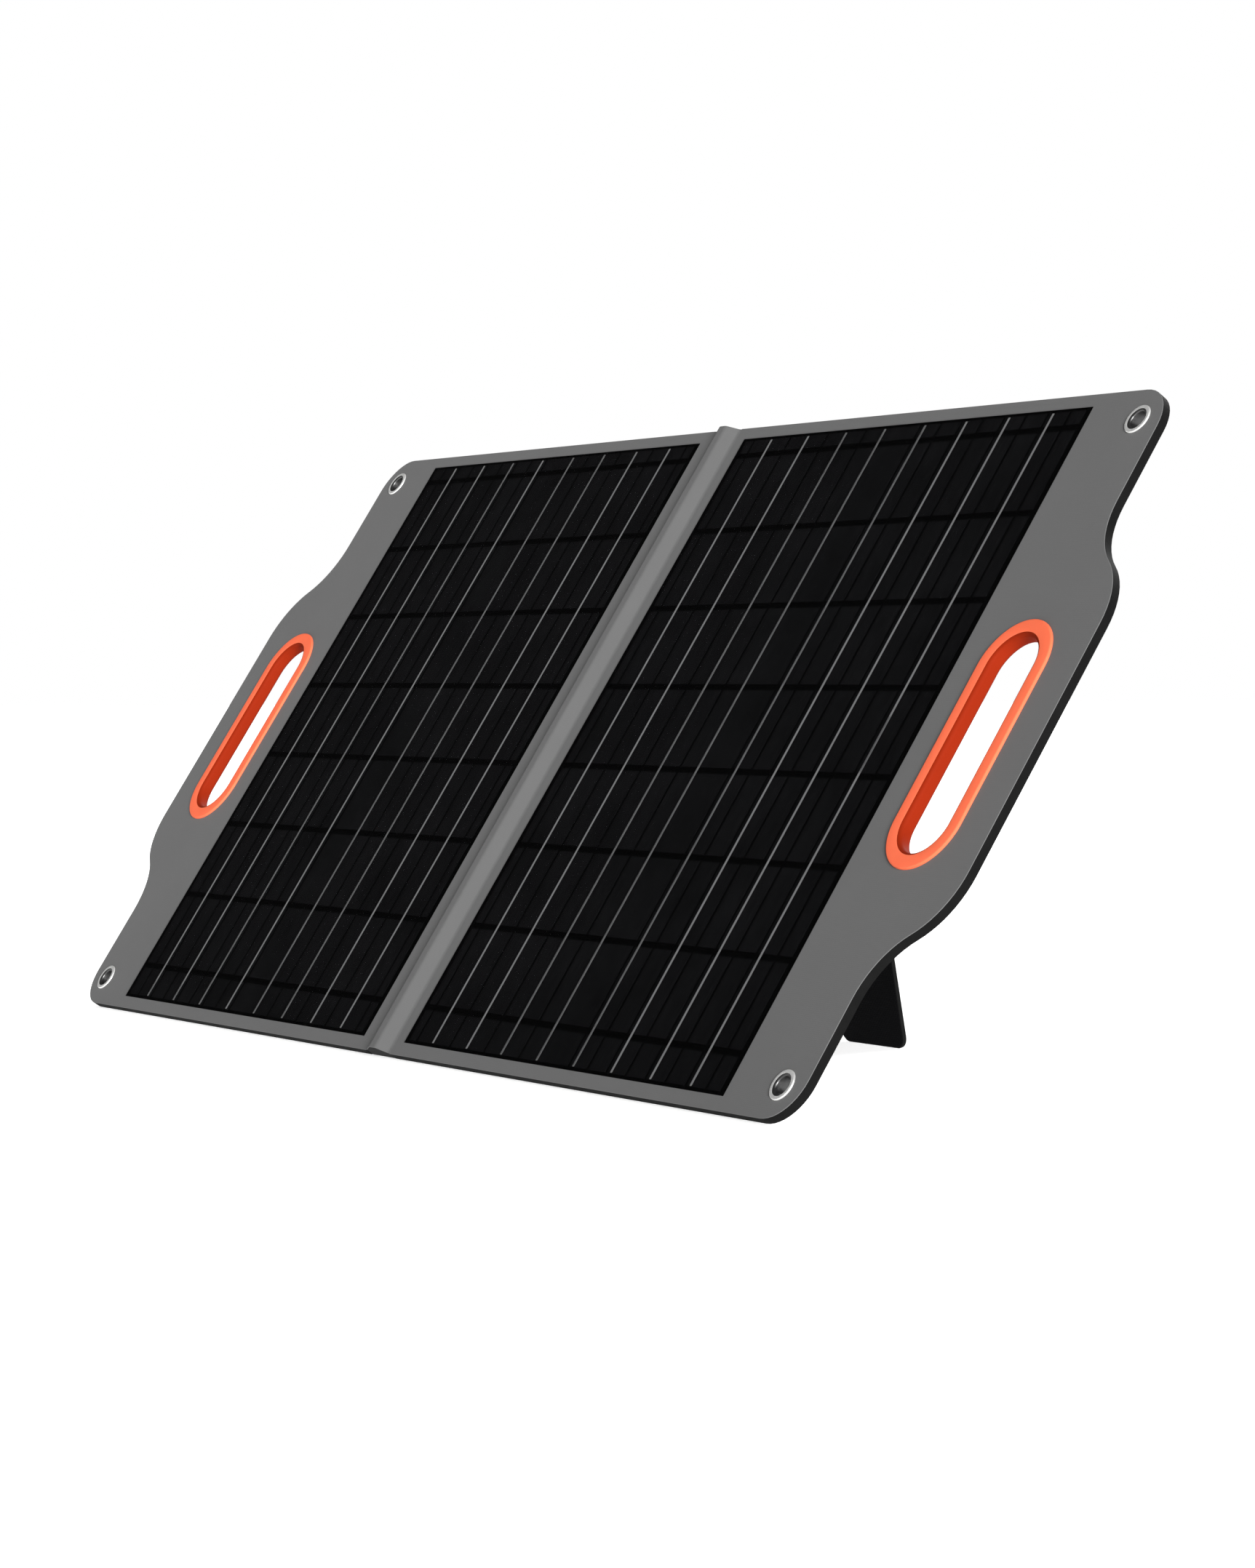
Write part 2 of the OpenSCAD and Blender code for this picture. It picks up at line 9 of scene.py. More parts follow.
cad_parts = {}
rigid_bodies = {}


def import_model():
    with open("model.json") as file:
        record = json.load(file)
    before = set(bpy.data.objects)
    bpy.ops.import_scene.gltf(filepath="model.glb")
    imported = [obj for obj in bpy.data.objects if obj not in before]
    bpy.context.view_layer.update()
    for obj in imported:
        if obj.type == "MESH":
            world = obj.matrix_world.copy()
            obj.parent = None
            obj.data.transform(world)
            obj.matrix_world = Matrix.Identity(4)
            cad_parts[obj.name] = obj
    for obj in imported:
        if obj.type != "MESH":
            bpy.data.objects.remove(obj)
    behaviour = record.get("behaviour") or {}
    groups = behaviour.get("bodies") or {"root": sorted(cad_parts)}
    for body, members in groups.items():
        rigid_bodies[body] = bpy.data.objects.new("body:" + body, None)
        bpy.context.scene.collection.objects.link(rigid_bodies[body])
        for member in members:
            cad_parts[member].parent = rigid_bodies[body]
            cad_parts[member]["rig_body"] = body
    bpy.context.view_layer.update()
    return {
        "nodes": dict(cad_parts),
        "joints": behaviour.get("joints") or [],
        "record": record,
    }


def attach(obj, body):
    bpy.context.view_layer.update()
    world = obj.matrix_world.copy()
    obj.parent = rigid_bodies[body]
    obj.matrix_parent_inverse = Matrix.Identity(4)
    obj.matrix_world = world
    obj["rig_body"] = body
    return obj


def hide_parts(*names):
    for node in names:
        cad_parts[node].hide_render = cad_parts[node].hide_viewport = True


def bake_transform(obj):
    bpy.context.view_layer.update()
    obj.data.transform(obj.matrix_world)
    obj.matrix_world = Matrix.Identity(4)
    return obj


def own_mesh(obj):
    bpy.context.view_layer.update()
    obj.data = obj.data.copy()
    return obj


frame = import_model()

MM = 0.001
SIDES = ("left", "right")

# --------------------------------------------------------------------------------------------------
# The panel's own directions and levels, all read from the frame
# --------------------------------------------------------------------------------------------------

joints = {joint["name"]: joint for joint in frame["joints"]}
ACROSS = Vector((1, 0, 0))
UP = -Vector(joints["fold"]["axis"]).normalized()
OUT = ACROSS.cross(UP)
STAND_ANGLE = math.radians(-joints["left_stand_hinge"]["range_deg"][0])
LEAN_TURN = math.atan2(UP.z, UP.y)


def span(node, direction):
    """Lowest and highest reach of a CAD node along a direction."""
    reach = [direction.dot(v.co) for v in frame["nodes"][node].data.vertices]
    return min(reach), max(reach)


BOTTOM = span("left_front_cover", UP)[0]
FACE = span("left_front_cover", OUT)[1]


def directions(turn):
    """Rotation whose columns point across the panel, up along it and out of its face, tipped by turn."""
    return Matrix.Rotation(turn, 4, "X") @ Matrix((ACROSS, UP, OUT)).transposed().to_4x4()


PANEL = Matrix.Translation(UP * BOTTOM + OUT * FACE) @ directions(0)


def level(node, edge):
    """Level of a node's back (0) or front (1) on the panel, counted from the front fabric."""
    return span(node, OUT)[edge] - FACE


def along(node, edge):
    """Height of a node's lower (0) or upper (1) end, counted up the panel from its lower edge."""
    return span(node, UP)[edge] - BOTTOM


BACK = level("left_back_cover", 0)
SPINE_HALF = span("spine_padding", ACROSS)[1]

# --------------------------------------------------------------------------------------------------
# Materials
# --------------------------------------------------------------------------------------------------


def colour(code):
    """An sRGB hex code as linear RGBA."""
    shares = [int(code[i:i + 2], 16) / 255 for i in (1, 3, 5)]
    return (*[c / 12.92 if c <= 0.04045 else ((c + 0.055) / 1.055) ** 2.4 for c in shares], 1.0)


def add(tree, kind, into=None, **settings):
    """Adds a node with its settings, and gives its sockets a value or a link."""
    made = tree.nodes.new(kind)
    for name, value in settings.items():
        setattr(made, name, value)
    for socket, value in (into or {}).items():
        if isinstance(value, bpy.types.NodeSocket):
            tree.links.new(value, made.inputs[socket])
        else:
            made.inputs[socket].default_value = value
    return made


def start_material(name):
    """A new material without nodes, and its node tree."""
    material = bpy.data.materials.new(name)
    material.use_nodes = True
    material.node_tree.nodes.clear()
    return material, material.node_tree


def end_material(tree, code, share=None, relief=None, depth=0.0, strength=1.0, **sockets):
    """The surface itself: a colour, darker or lighter by a share, and a relief of a real depth."""
    into = {name.replace("_", " "): value for name, value in sockets.items()}
    into["Base Color"] = colour(code)
    if share is not None:
        shaded = add(tree, "ShaderNodeVectorMath", {0: colour(code)[:3], "Scale": share}, operation="SCALE")
        into["Base Color"] = shaded.outputs[0]
    if relief is not None:
        bump = add(tree, "ShaderNodeBump", {"Height": relief, "Distance": depth, "Strength": strength})
        into["Normal"] = bump.outputs["Normal"]
    surface = add(tree, "ShaderNodeBsdfPrincipled", into)
    add(tree, "ShaderNodeOutputMaterial", {"Surface": surface.outputs["BSDF"]})


PATTERN_TURN = {"panel": LEAN_TURN, "stand": LEAN_TURN + STAND_ANGLE}


def pattern_place(tree, where):
    """Where a pattern lies, in metres: X runs across the piece and Y up along it. On the panel and on a
    stand it comes from the piece's place, and on bent cloth from its own map, which bends with it."""
    if where == "cloth":
        return add(tree, "ShaderNodeUVMap", uv_map="cloth").outputs["UV"]
    place = add(tree, "ShaderNodeTexCoord").outputs["Object"]
    turn = (-PATTERN_TURN[where], 0, 0)
    return add(tree, "ShaderNodeMapping", {"Vector": place, "Rotation": turn}).outputs["Vector"]


def drawn_out(tree, place, share):
    """A place whose patterns are drawn out up the panel: the smaller the share, the longer they are."""
    return add(tree, "ShaderNodeMapping", {"Vector": place, "Scale": (1, share, 1)}).outputs["Vector"]


def mottle(tree, place, size, low, high, detail=3.0):
    """A share that drifts between low and high over patches of the given size."""
    noise = add(tree, "ShaderNodeTexNoise", {"Vector": place, "Scale": 1 / size, "Detail": detail})
    limits = {"From Min": 0.3, "From Max": 0.7, "To Min": low, "To Max": high}
    return add(tree, "ShaderNodeMapRange", {"Value": noise.outputs["Fac"], **limits}).outputs["Result"]


def thread_rows(tree, place, strand_pitch, rib_pitch):
    """The threads of a weave as soft stripes: the strands that lie side by side across X, and the ribs
    that follow each other along Y."""
    # At a scale of 1 the stripes of a wave texture lie pi / 10 apart
    stripe_gap = math.pi / 10
    rows = []
    for direction, pitch in (("X", strand_pitch), ("Y", rib_pitch)):
        into = {"Vector": place, "Scale": stripe_gap / pitch, "Distortion": 0.0}
        wave = add(tree, "ShaderNodeTexWave", into, wave_type="BANDS", bands_direction=direction,
                   wave_profile="SIN")
        rows.append(wave.outputs["Fac"])
    return rows


def plain_weave(tree, place, pitch):
    """Threads that pass over and under each other, one every pitch metres."""
    warp, weft = thread_rows(tree, place, pitch, pitch)
    over = add(tree, "ShaderNodeTexChecker", {"Vector": place, "Scale": 1 / pitch}).outputs["Fac"]
    under = add(tree, "ShaderNodeMath", {0: 1.0, 1: over}, operation="SUBTRACT").outputs[0]
    weft_on_top = add(tree, "ShaderNodeMath", {0: weft, 1: under}, operation="MULTIPLY").outputs[0]
    both = add(tree, "ShaderNodeMath", {0: warp, 1: over, 2: weft_on_top}, operation="MULTIPLY_ADD")
    return both.outputs[0]


def cloth(name, where, code, pitch, wear, depth, roughness, sheen, specular):
    """Coated woven polyester: an even matt colour, a thread relief and a faint cloudiness."""
    material, tree = start_material(name)
    place = pattern_place(tree, where)
    threads = plain_weave(tree, place, pitch)
    cloudy = mottle(tree, place, 60 * MM, 1 - wear, 1 + wear)
    share = add(tree, "ShaderNodeMath", {0: threads, 1: 1.6 * wear, 2: cloudy}, operation="MULTIPLY_ADD")
    end_material(tree, code, share.outputs[0], threads, depth, Roughness=roughness,
                 Specular_IOR_Level=specular, Sheen_Weight=sheen, Sheen_Roughness=0.5)
    return material


def webbing_material():
    """Woven polyester webbing: ribs across a narrow band, and finer strands along it."""
    material, tree = start_material("polyester_webbing_black")
    strands, ribs = thread_rows(tree, pattern_place(tree, "cloth"), 1.1 * MM, 1.6 * MM)
    relief = add(tree, "ShaderNodeMath", {0: strands, 1: 0.5, 2: ribs}, operation="MULTIPLY_ADD").outputs[0]
    share = add(tree, "ShaderNodeMath", {0: relief, 1: 0.3, 2: 0.8}, operation="MULTIPLY_ADD").outputs[0]
    end_material(tree, "#1B1B1D", share, relief, 0.25 * MM, Roughness=0.7, Sheen_Weight=0.2,
                 Specular_IOR_Level=0.3)
    return material


def foam_edge_material():
    """Cut edge of stiff closed-cell foam: a dull black with tiny open cells."""
    material, tree = start_material("cut_eva_foam_black")
    place = pattern_place(tree, "panel")
    pores = add(tree, "ShaderNodeTexVoronoi", {"Vector": place, "Scale": 1 / (1.2 * MM)}).outputs["Distance"]
    end_material(tree, "#0E0E0E", mottle(tree, place, 9 * MM, 0.85, 1.1), pores, 0.12 * MM, 0.6,
                 Roughness=0.8, Specular_IOR_Level=0.08)
    return material


def cell_material():
    """Etched monocrystalline silicon: almost black, each patch a little different, with an upright grain.
    The grain of the real cells is finer than a millimetre; it is drawn coarser, so that it shows."""
    material, tree = start_material("monocrystalline_silicon_etched")
    place = pattern_place(tree, "panel")
    grain = mottle(tree, drawn_out(tree, place, 0.12), 2.4 * MM, 0.72, 1.24, 4.0)
    patches = mottle(tree, place, 55 * MM, 0.8, 1.2)
    share = add(tree, "ShaderNodeMath", {0: grain, 1: patches}, operation="MULTIPLY").outputs[0]
    end_material(tree, "#0F0F10", share, grain, 0.02 * MM, 0.3, Roughness=0.5, Specular_IOR_Level=0.0)
    return material


def backsheet_material():
    """Black laminated backsheet: flat and lightless, seen as the dark lines between the cells."""
    material, tree = start_material("pet_backsheet_black")
    place = pattern_place(tree, "panel")
    end_material(tree, "#020202", mottle(tree, place, 30 * MM, 0.8, 1.2),
                 mottle(tree, place, 2 * MM, 0.0, 1.0), 0.02 * MM, 0.4, Roughness=0.6,
                 Specular_IOR_Level=0.0)
    return material


def ribbon_material():
    """Tinned copper ribbon under the film: pale, dull and slightly streaked along its length."""
    material, tree = start_material("tinned_copper_ribbon")
    tone = mottle(tree, drawn_out(tree, pattern_place(tree, "panel"), 0.05), 1.0 * MM, 0.88, 1.08)
    end_material(tree, "#8A8A8A", tone, tone, 0.02 * MM, 0.5, Metallic=0.3, Roughness=0.45,
                 Specular_IOR_Level=0.2)
    return material


def film_material():
    """Clear fluoropolymer film: it hides nothing, and gives a dim sheen that wavers as the laminate does."""
    material, tree = start_material("etfe_film_clear")
    place = pattern_place(tree, "panel")
    waves = add(tree, "ShaderNodeTexNoise", {"Vector": place, "Scale": 1 / (18 * MM), "Detail": 2.0})
    end_material(tree, "#0B0C0D", mottle(tree, place, 120 * MM, 0.8, 1.2), waves.outputs["Fac"], 0.12 * MM,
                 0.5, Roughness=0.16, Alpha=0.05, Specular_IOR_Level=0.5)
    return material


def metal(name, code, roughness, grain, drift, metallic=1.0):
    """Plated or tinned metal: bright, with a faint grain and slightly uneven polish."""
    material, tree = start_material(name)
    place = pattern_place(tree, "panel")
    polish = mottle(tree, place, 3 * grain, roughness * 0.8, roughness * 1.25)
    end_material(tree, code, mottle(tree, place, 6 * grain, 1 - drift, 1.0),
                 mottle(tree, place, grain, 0.0, 1.0), 0.01 * MM, 0.5, Metallic=metallic, Roughness=polish)
    return material


def moulded(name, code, roughness, grain, depth, specular, drift=0.04, subsurface=0.0, where="panel"):
    """Moulded plastic or rubber: an even colour with a fine spark-eroded grain."""
    material, tree = start_material(name)
    place = pattern_place(tree, where)
    texture = add(tree, "ShaderNodeTexNoise", {"Vector": place, "Scale": 1 / grain, "Detail": 4.0})
    end_material(tree, code, mottle(tree, place, 25 * MM, 1 - drift, 1 + drift), texture.outputs["Fac"],
                 depth, 0.6, Roughness=roughness, Specular_IOR_Level=specular,
                 Subsurface_Weight=subsurface, Subsurface_Scale=1.5 * MM)
    return material


# Threads lie 0.6 mm apart on the real cloth; they are drawn two to three times as coarse, so that they show
# Front cloth: a grey coating that almost fills the weave, so it looks smooth and matt
FRONT_CLOTH = dict(code="#606060", pitch=1.4 * MM, wear=0.02, depth=0.03 * MM, roughness=0.72, sheen=0.05,
                   specular=0.12)
# Back cloth: a black weave that shows, with a soft edge light from its fibres
BACK_CLOTH = dict(code="#0F1011", pitch=1.6 * MM, wear=0.12, depth=0.18 * MM, roughness=0.8, sheen=0.06,
                  specular=0.12)
# Stand cloth: the same weave in a deeper black that hardly shines, the extra depth being painted shade
STAND_CLOTH_PAINTED_SHADE = dict(BACK_CLOTH, code="#070708", roughness=0.85, sheen=0.0, specular=0.03)
front_cloth = cloth("coated_polyester_grey", "panel", **FRONT_CLOTH)
front_cloth_bent = cloth("coated_polyester_grey_bent", "cloth", **FRONT_CLOTH)
back_cloth = cloth("oxford_weave_black", "panel", **BACK_CLOTH)
back_cloth_bent = cloth("oxford_weave_black_bent", "cloth", **BACK_CLOTH)
stand_cloth_painted_shade = cloth("oxford_weave_black_stand", "stand", **STAND_CLOTH_PAINTED_SHADE)
webbing = webbing_material()
# Soft rubber of the handles: a warm orange without gloss, a little light passing into it
orange = moulded("moulded_tpe_orange", "#F26F4C", roughness=0.65, grain=0.9 * MM, depth=0.02 * MM,
                 specular=0.15, drift=0.02, subsurface=0.1)
# The same rubber inside the sleeve, in a deeper and duller orange: painted shade in the recess
orange_painted_shade = moulded("moulded_tpe_orange_painted_shade", "#812109", roughness=0.7, grain=0.9 * MM,
                      depth=0.02 * MM, specular=0.04, drift=0.02)
# Nickel plating over rolled steel: a pale satin ring
nickel = metal("nickel_plated_steel", "#FAFAF8", roughness=0.4, grain=0.5 * MM, drift=0.05, metallic=0.7)
# The same plating on the funnel and barrel, in a darker grey: painted shade down the hole
nickel_painted_shade = metal("nickel_plated_steel_painted_shade", "#626262", roughness=0.42, grain=0.5 * MM, drift=0.15)
# Twisted thread: dull grey, with its twist as a fine grain
thread = moulded("twisted_nylon_thread_grey", "#5C5E61", roughness=0.6, grain=0.3 * MM, depth=0.08 * MM,
                 specular=0.3)
# Soft open foam: charcoal, without any gloss
foam = moulded("open_cell_foam_charcoal", "#2B2B2B", roughness=0.9, grain=1.2 * MM, depth=0.3 * MM,
               specular=0.1, drift=0.1, where="cloth")

SLOT_FINISH = {
    "grey_fabric": front_cloth,
    "black_board": foam_edge_material(),
    "black_fabric": back_cloth,
    "backsheet": backsheet_material(),
    "cell": cell_material(),
    "ribbon": ribbon_material(),
    "film": film_material(),
    "orange_moulding": orange,
    "plated_eyelet": nickel,
    # Plated magnet: a bright and slightly grainy disc
    "magnet": metal("nickel_plated_magnet", "#C8C8C8", roughness=0.3, grain=0.6 * MM, drift=0.1),
    "webbing": back_cloth,
    "padding": foam,
    # Cable jacket: a smooth black with a dull gloss
    "lead": moulded("pvc_lead_black", "#101010", roughness=0.5, grain=0.8 * MM, depth=0.02 * MM,
                    specular=0.4),
    # Box of the controller: black with a fine matt grain
    "black_moulding": moulded("moulded_abs_black", "#1C1D1F", roughness=0.5, grain=0.8 * MM,
                              depth=0.06 * MM, specular=0.45),
    # Round outlet: a smoother and glossier black than the box
    "outlet_moulding": moulded("moulded_nylon_black", "#141414", roughness=0.35, grain=1.5 * MM,
                               depth=0.02 * MM, specular=0.5),
    # Socket cover and gasket: a dull rubber black
    "black_rubber": moulded("moulded_epdm_black", "#161616", roughness=0.75, grain=0.6 * MM,
                            depth=0.05 * MM, specular=0.3),
    # Solder mask: a deep green lacquer
    "circuit_board": moulded("solder_mask_green", "#0F4A2A", roughness=0.3, grain=0.5 * MM,
                             depth=0.02 * MM, specular=0.5),
    # Tin-plated socket shells: pale metal, softly polished
    "socket_metal": metal("tin_plated_shell", "#C9C9C6", roughness=0.3, grain=0.8 * MM, drift=0.08),
    # Zinc-plated screws: a cooler and greyer metal
    "screw_steel": metal("zinc_plated_screw", "#B9BBBD", roughness=0.32, grain=0.4 * MM, drift=0.12),
    # Status lens: clear green plastic with a clean gloss
    "lens": moulded("tinted_polycarbonate_green", "#2E9A4A", roughness=0.2, grain=1.0 * MM,
                    depth=0.01 * MM, specular=0.5),
}

for row in frame["record"]["subparts"]:
    node = row["node"]
    finish = SLOT_FINISH[row["material_slot"]]
    # Stands get the same black weave as the back, made darker by painted shade
    if "_stand_" in node and row["material_slot"] == "black_fabric":
        finish = stand_cloth_painted_shade
    materials = frame["nodes"][node].data.materials
    materials.clear()
    materials.append(finish)

# --------------------------------------------------------------------------------------------------
# Making pieces
# --------------------------------------------------------------------------------------------------


def make(name, bm, matrix, finish, smooth=35, shade_finish=None, in_shade=None):
    """Turns a shape drawn in a frame of its own into a piece in the part's frame. Edges flatter than smooth
    degrees are shaded smooth. Faces whose centre the given test picks out get the second finish, a painted
    shade."""
    bmesh.ops.remove_doubles(bm, verts=bm.verts, dist=1e-6)
    bmesh.ops.recalc_face_normals(bm, faces=bm.faces)
    if shade_finish:
        for face in bm.faces:
            face.material_index = int(in_shade(face.calc_center_median()))
    bmesh.ops.transform(bm, matrix=matrix, verts=bm.verts)
    limit = math.radians(smooth)
    for face in bm.faces:
        face.smooth = True
    for edge in bm.edges:
        edge.smooth = len(edge.link_faces) == 2 and edge.calc_face_angle() < limit
    mesh = bpy.data.meshes.new(name)
    bm.to_mesh(mesh)
    bm.free()
    mesh.materials.append(finish)
    if shade_finish:
        mesh.materials.append(shade_finish)
    piece = bpy.data.objects.new(name, mesh)
    bpy.context.scene.collection.objects.link(piece)
    return piece


def dress(node, width, segments=2, smooth=14):
    """A CAD node with its sharp edges eased, as the real edges are. The low smooth angle keeps the shading
    of an eased edge off the large flat faces beside it."""
    source = frame["nodes"][node]
    bm = bmesh.new()
    bm.from_mesh(source.data)
    bmesh.ops.remove_doubles(bm, verts=bm.verts, dist=1e-6)
    bmesh.ops.dissolve_limit(bm, angle_limit=math.radians(1), verts=bm.verts, edges=bm.edges)
    sharp = [e for e in bm.edges if len(e.link_faces) == 2 and e.calc_face_angle() > math.radians(40)]
    bmesh.ops.bevel(bm, geom=sharp, offset=width, offset_type="OFFSET", affect="EDGES", segments=segments,
                    profile=0.5, material=-1, clamp_overlap=True)
    finish = source.data.materials[0]
    piece = make(f"{node}_finished", bm, Matrix.Identity(4), finish, smooth)
    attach(piece, source["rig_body"])
    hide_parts(node)


def sheet_between(width, height, columns, rows, front, back):
    """A closed sheet over a rectangle about the origin. front and back give its two levels at x, y."""
    bm = bmesh.new()
    bmesh.ops.create_grid(bm, x_segments=columns, y_segments=rows, size=0.5)
    bmesh.ops.scale(bm, vec=(width, height, 1), verts=bm.verts)
    face_side = list(bm.verts)
    grown = bmesh.ops.extrude_face_region(bm, geom=bm.faces[:])
    back_side = [g for g in grown["geom"] if isinstance(g, bmesh.types.BMVert)]
    for v in face_side:
        v.co.z = front(v.co.x, v.co.y)
    for v in back_side:
        v.co.z = back(v.co.x, v.co.y)
    return bm


def map_cloth(piece):
    """Gives a piece its cloth map: metres across the panel and up it, at rest."""
    to_panel = PANEL.inverted()
    cloth_map = piece.data.uv_layers.new(name="cloth")
    for loop in piece.data.loops:
        place = to_panel @ piece.data.vertices[loop.vertex_index].co
        cloth_map.data[loop.index].uv = (place.x, place.y)


def profile(points, rounded):
    """A closed outline in the XZ plane, with the listed corners rounded by (corner, radius)."""
    bm = bmesh.new()
    corners = [bm.verts.new((x, 0, z)) for x, z in points]
    bm.faces.new(corners)
    for index, radius in rounded:
        bmesh.ops.bevel(bm, geom=[corners[index]], offset=radius, offset_type="OFFSET", affect="VERTICES",
                        segments=6, profile=0.5, material=-1)
    bmesh.ops.delete(bm, geom=bm.faces[:], context="FACES_ONLY")
    return bm


def lathe(bm, steps):
    """Turns an outline once round the Z axis."""
    bmesh.ops.spin(bm, geom=bm.verts[:] + bm.edges[:], cent=(0, 0, 0), axis=(0, 0, 1), dvec=(0, 0, 0),
                   angle=2 * math.pi, steps=steps, use_merge=True, use_duplicate=False)


def along_stadium(bm, straight, steps):
    """Sweeps an outline round an upright stadium whose straight sides have the given length: half a turn,
    a straight side, the other half turn and the other side."""
    bmesh.ops.translate(bm, vec=(0, straight / 2, 0), verts=bm.verts)
    end = bm.verts[:] + bm.edges[:]
    for centre in (straight / 2, -straight / 2):
        turned = bmesh.ops.spin(bm, geom=end, cent=(0, centre, 0), axis=(0, 0, 1), dvec=(0, 0, 0),
                                angle=math.pi, steps=steps, use_merge=False, use_duplicate=False)
        edges = [g for g in turned["geom_last"] if isinstance(g, bmesh.types.BMEdge)]
        run = bmesh.ops.extrude_edge_only(bm, edges=edges)["geom"]
        moved = [g for g in run if isinstance(g, bmesh.types.BMVert)]
        bmesh.ops.translate(bm, vec=(0, -math.copysign(straight, centre), 0), verts=moved)
        end = moved + [g for g in run if isinstance(g, bmesh.types.BMEdge)]


STITCH_PITCH = 4.5 * MM
STITCH_LENGTH = 3.2 * MM
THREAD_T = 0.55 * MM


def add_stitches(bm, start, stop):
    """A row of small thread stitches on the line from start to stop."""
    start = Vector(start)
    run = Vector(stop) - start
    count = max(1, round(run.length / STITCH_PITCH))
    turn = run.to_track_quat("X", "Z").to_matrix().to_4x4()
    shape = Matrix.Diagonal((STITCH_LENGTH / 2, THREAD_T / 2, THREAD_T / 2, 1))
    for i in range(count):
        place = Matrix.Translation(start + run * ((i + 0.5) / count))
        bmesh.ops.create_uvsphere(bm, u_segments=6, v_segments=4, radius=1.0, matrix=place @ turn @ shape)


def sew(name, matrix, body, half_w, low, high, z, cross=False):
    """Stitches round a rectangle, with a cross inside where the seam carries load, as a piece of a body."""
    bm = bmesh.new()
    corners = [(-half_w, low, z), (half_w, low, z), (half_w, high, z), (-half_w, high, z)]
    for i in range(4):
        add_stitches(bm, corners[i], corners[(i + 1) % 4])
    if cross:
        add_stitches(bm, corners[0], corners[2])
        add_stitches(bm, corners[1], corners[3])
    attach(make(name, bm, matrix, thread, 60), body)


# --------------------------------------------------------------------------------------------------
# Boards and covers
# --------------------------------------------------------------------------------------------------

for side in SIDES:
    dress(f"{side}_front_cover", 0.3 * MM)
    dress(f"{side}_core_board", 0.5 * MM)
    dress(f"{side}_back_cover", 0.2 * MM)
    dress(f"{side}_stand_board", 0.5 * MM)

# --------------------------------------------------------------------------------------------------
# Handles
# --------------------------------------------------------------------------------------------------

GRIP_RIM_W = 12.5 * MM
GRIP_SLEEVE_T = 2.5 * MM
GRIP_LEAD_IN = 3.4 * MM
GRIP_EDGE_R = 1.4 * MM


def grip_half(side, face):
    """One moulded half of a handle: a soft rim on the cover and half of the sleeve through the board."""
    node = f"{side}_grip_{face}"
    left, right = span(node, ACROSS)
    low, high = along(node, 0), along(node, 1)
    centre = Vector(((left + right) / 2, (low + high) / 2, 0))
    outer_r = (right - left) / 2
    inner_r = outer_r - GRIP_RIM_W
    sleeve_r = inner_r + GRIP_SLEEVE_T
    straight = (high - low) - 2 * outer_r
    rim_h = level(f"{side}_grip_front", 1)
    depth = -BACK / 2
    outline = [(inner_r, -depth), (inner_r, rim_h), (outer_r, rim_h), (outer_r, 0), (sleeve_r, 0),
               (sleeve_r, -depth)]
    bm = profile(outline, [(1, GRIP_LEAD_IN), (2, GRIP_EDGE_R)])
    along_stadium(bm, straight, 32)
    if face == "back":
        turned_over = Matrix.Translation((0, 0, BACK)) @ Matrix.Scale(-1, 4, (0, 0, 1))
        bmesh.ops.transform(bm, matrix=turned_over, verts=bm.verts)
    bmesh.ops.translate(bm, vec=centre, verts=bm.verts)

    def inside_sleeve(point):
        """True on the rounded wall that the hand meets and on the rounding above it, which get a deeper
        orange than the rim as painted shade.
        """
        beyond = max(0.0, abs(point.y - centre.y) - straight / 2)
        from_middle = math.hypot(point.x - centre.x, beyond)
        top = rim_h - 0.2 * MM
        return from_middle < inner_r + GRIP_LEAD_IN and BACK - top < point.z < top

    piece = make(f"{side}_grip_{face}_moulding", bm, PANEL, orange, 30, orange_painted_shade,
                 inside_sleeve)
    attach(piece, f"{side}_half")
    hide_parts(node)


for side in SIDES:
    grip_half(side, "front")
    grip_half(side, "back")

# --------------------------------------------------------------------------------------------------
# Eyelets
# --------------------------------------------------------------------------------------------------

BARREL_T = 0.8 * MM
FLARE_T = 0.55 * MM
WASHER_GAP = 0.1 * MM


